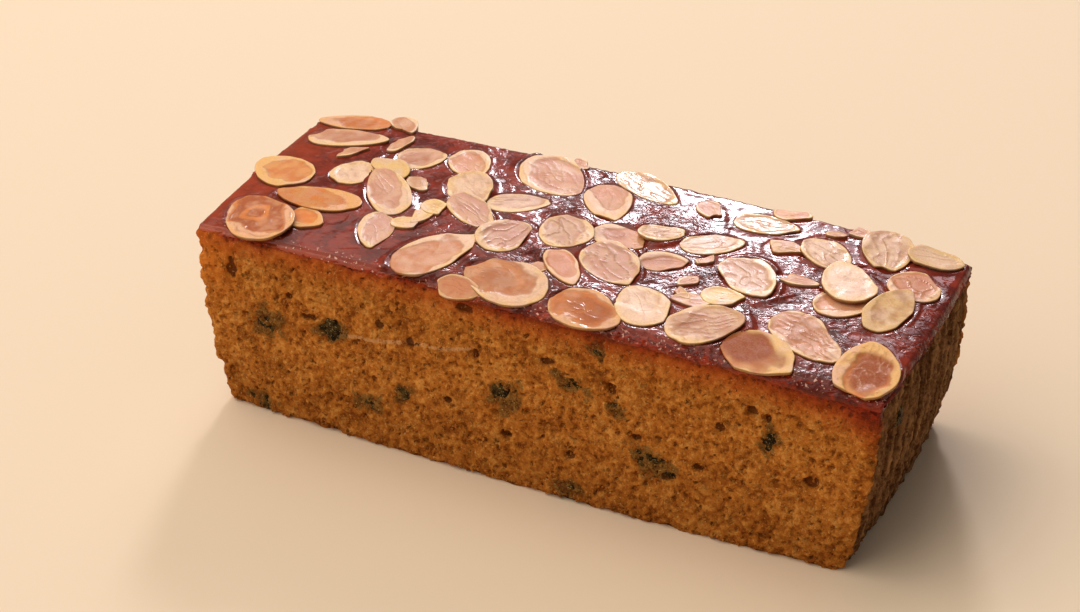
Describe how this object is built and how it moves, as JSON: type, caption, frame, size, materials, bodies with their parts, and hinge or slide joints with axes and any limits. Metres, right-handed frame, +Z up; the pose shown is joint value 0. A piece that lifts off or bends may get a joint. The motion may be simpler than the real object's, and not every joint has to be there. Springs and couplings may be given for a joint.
{
  "type": "fruit cake loaf",
  "caption": "Long low fruit cake loaf with dark candied fruit in its golden-brown crumb, glazed and covered with flaked almonds on top.",
  "frame": {"origin": "middle of the flat base, on the surface that the loaf rests on", "axes": "+X along the loaf, +Y across it to the back, +Z up"},
  "size_m": [0.1952, 0.0774, 0.0576],
  "materials": {
    "sponge": "rough",
    "glaze": "gloss",
    "almond": "gloss",
    "fruit": "satin"
  },
  "bodies": {
    "root": {"sponge": "sponge", "almond_01": "almond", "almond_02": "almond", "almond_03": "almond", "almond_04": "almond", "almond_05": "almond", "almond_06": "almond", "almond_07": "almond", "almond_08": "almond", "almond_09": "almond", "almond_10": "almond", "almond_11": "almond", "almond_12": "almond", "almond_13": "almond", "almond_14": "almond", "almond_15": "almond", "almond_16": "almond", "almond_17": "almond", "almond_18": "almond", "almond_19": "almond", "almond_20": "almond", "almond_21": "almond", "almond_22": "almond", "almond_23": "almond", "almond_24": "almond", "almond_25": "almond", "almond_26": "almond", "almond_27": "almond", "almond_28": "almond", "almond_29": "almond", "almond_30": "almond", "almond_31": "almond", "almond_32": "almond", "almond_33": "almond", "almond_34": "almond", "almond_35": "almond", "almond_36": "almond", "almond_37": "almond", "almond_38": "almond", "almond_39": "almond", "almond_40": "almond", "almond_41": "almond", "almond_42": "almond", "fruit_01": "fruit", "fruit_02": "fruit", "fruit_03": "fruit", "fruit_04": "fruit", "fruit_05": "fruit", "fruit_06": "fruit", "fruit_07": "fruit", "fruit_08": "fruit", "fruit_09": "fruit", "fruit_10": "fruit", "fruit_11": "fruit", "fruit_12": "fruit", "fruit_13": "fruit", "fruit_14": "fruit", "fruit_15": "fruit", "fruit_16": "fruit", "fruit_17": "fruit"}
  },
  "joints": []
}
